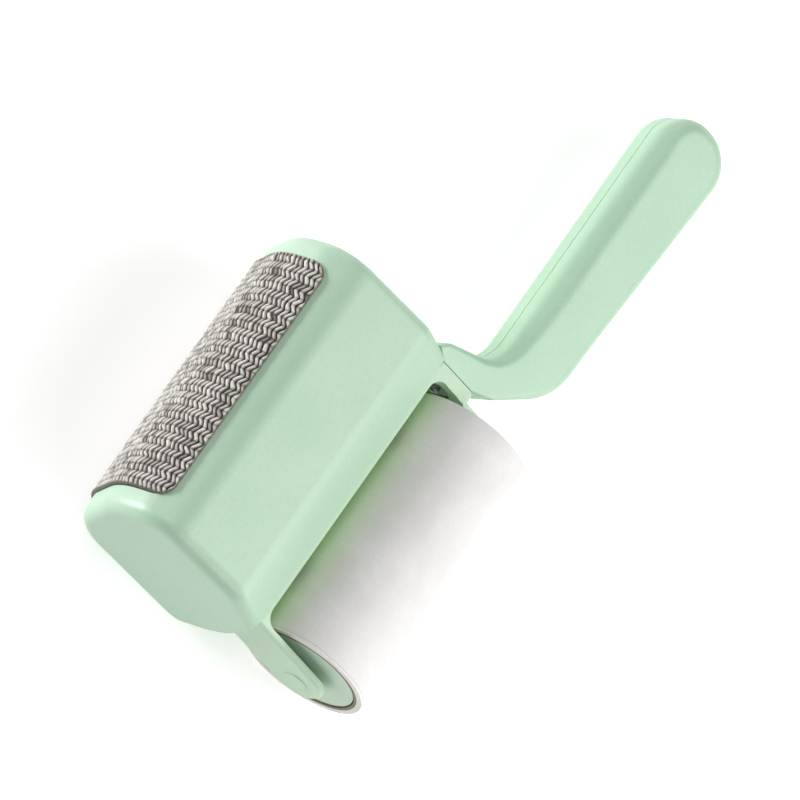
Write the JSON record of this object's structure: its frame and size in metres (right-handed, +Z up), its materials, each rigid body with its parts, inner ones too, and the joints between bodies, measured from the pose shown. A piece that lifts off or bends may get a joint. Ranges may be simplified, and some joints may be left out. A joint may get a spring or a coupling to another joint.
{
  "type": "lint roller",
  "caption": "Hand lint roller with a sticky paper roll in a U-shaped frame, a woven lint pad round the head's nose and a cranked swivelling handle.",
  "frame": {"origin": "middle of the bounding box's base: the level that the roll and the head's heel rest on", "axes": "+X along the roll's axis towards the handle's tip, +Y from the roll towards the pad on the head's nose, +Z up"},
  "size_m": [0.2454, 0.116, 0.0623],
  "materials": {
    "mint_shell": "satin moulded ABS with a faint orange-peel",
    "mint_frame": "satin moulded polypropylene",
    "mint_hub": "satin moulded polypropylene",
    "steel_screw": "zinc-plated",
    "grey_weave": "herringbone woven cover, warm grey",
    "foam": "open-cell foam",
    "plate_plastic": "moulded backing plate",
    "card": "spiral-wound card core",
    "paper": "white sticky sheets, slightly translucent",
    "spring_steel": "spring steel"
  },
  "bodies": {
    "head": {"head_shell": "mint_shell", "roller_frame": "mint_frame", "frame_screws": "steel_screw", "pad_plate": "plate_plastic", "pad_foam": "foam", "pad_fabric": "grey_weave", "near_pivot_pin": "mint_frame", "far_pivot_pin": "mint_frame"},
    "roller": {"hub_tube": "mint_hub", "near_hub_cap": "mint_hub", "far_hub_cap": "mint_hub", "cardboard_core": "card", "paper_roll": "paper", "outer_sheet": "paper"},
    "handle": {"handle_upper_shell": "mint_shell", "handle_lower_shell": "mint_shell", "handle_screws": "steel_screw", "swivel_spigot": "plate_plastic", "swivel_washer": "spring_steel", "swivel_screw": "steel_screw", "swivel_spring": "spring_steel"}
  },
  "joints": [
    {"name": "roll_spin", "type": "hinge", "parent": "head", "child": "roller", "pos_m": [-0.0651, -0.035, 0.023], "axis": [1, 0, 0], "continuous": true},
    {"name": "handle_swivel", "type": "hinge", "parent": "head", "child": "handle", "pos_m": [-0.0069, -0.01401, 0.03023], "axis": [-1, 0, 0], "range_deg": [0, 180]}
  ]
}
